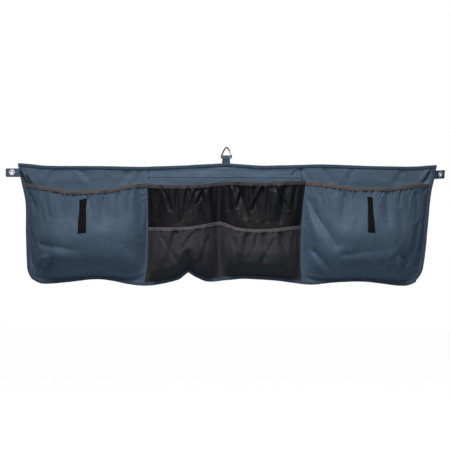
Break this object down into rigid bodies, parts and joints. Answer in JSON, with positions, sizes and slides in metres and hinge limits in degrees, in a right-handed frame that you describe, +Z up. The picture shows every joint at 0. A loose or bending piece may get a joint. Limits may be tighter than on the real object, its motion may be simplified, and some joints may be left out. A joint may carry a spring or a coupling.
{
  "type": "hanging camp organizer",
  "caption": "Wide hanging cloth organizer with large side pockets, middle pockets, net pockets, eyelet tabs and a small carabiner on a loop.",
  "frame": {"origin": "on the flat back face of the top tape, near the middle of the top edge", "axes": "+X to the right as seen from the front, +Y to the back, +Z up; the pockets face -Y"},
  "size_m": [1.4867, 0.1055, 0.469],
  "materials": {
    "blue_cloth": "slate blue plain weave, soft coating",
    "navy_tape": "navy ribbed binding tape",
    "black_cloth": "black plain weave",
    "black_net": "black knitted net",
    "grey_elastic": "warm grey fold-over elastic",
    "black_elastic": "dark grey fold-over elastic",
    "ribbed_strip": "black ribbed webbing",
    "nickel": "warm nickel plate",
    "coated_metal": "black coated rod",
    "bright_steel": "bright steel"
  },
  "bodies": {
    "organizer": {"back_panel": "blue_cloth", "top_binding": "navy_tape", "edge_binding": "navy_tape", "left_pocket": "blue_cloth", "right_pocket": "blue_cloth", "upper_pockets": "black_cloth", "lower_mesh_pockets": "black_net", "left_mouth_binding": "grey_elastic", "right_mouth_binding": "grey_elastic", "upper_mouth_binding": "black_elastic", "lower_mouth_binding": "black_elastic", "left_strip": "ribbed_strip", "right_strip": "ribbed_strip", "loop_tail": "blue_cloth"},
    "left_hanging_tab": {"left_tab": "blue_cloth", "left_eyelet": "nickel", "left_washer": "nickel"},
    "right_hanging_tab": {"right_tab": "blue_cloth", "right_eyelet": "nickel", "right_washer": "nickel"},
    "middle_loop": {"hanger_loop": "blue_cloth"},
    "carabiner": {"carabiner_frame": "coated_metal", "gate_rivet": "bright_steel"},
    "gate": {"carabiner_gate": "bright_steel", "gate_plunger": "bright_steel", "gate_spring": "bright_steel"}
  },
  "joints": [
    {"name": "left_tab_fold", "type": "hinge", "parent": "organizer", "child": "left_hanging_tab", "pos_m": [-0.6956, -0.0019, -0.02366], "axis": [-0.2175, 0, 0.9761], "range_deg": [-90, 90]},
    {"name": "right_tab_fold", "type": "hinge", "parent": "organizer", "child": "right_hanging_tab", "pos_m": [0.71063, -0.0019, -0.03081], "axis": [0.1995, 0, 0.9799], "range_deg": [-133, 47]},
    {"name": "hanger_loop_fold", "type": "hinge", "parent": "organizer", "child": "middle_loop", "pos_m": [0.0037, -0.0047, 0.00911], "axis": [1, 0, 0], "range_deg": [-90, 90]},
    {"name": "carabiner_swing", "type": "hinge", "parent": "middle_loop", "child": "carabiner", "pos_m": [0.0037, -0.0047, 0.02571], "axis": [1, 0, 0], "range_deg": [-100, 100]},
    {"name": "gate_pivot", "type": "hinge", "parent": "carabiner", "child": "gate", "pos_m": [0.0199, -0.0047, 0.03761], "axis": [0, -1, 0], "range_deg": [0, 35], "stiffness_Nm_per_rad": 0.02, "springref_deg": -28.65}
  ]
}
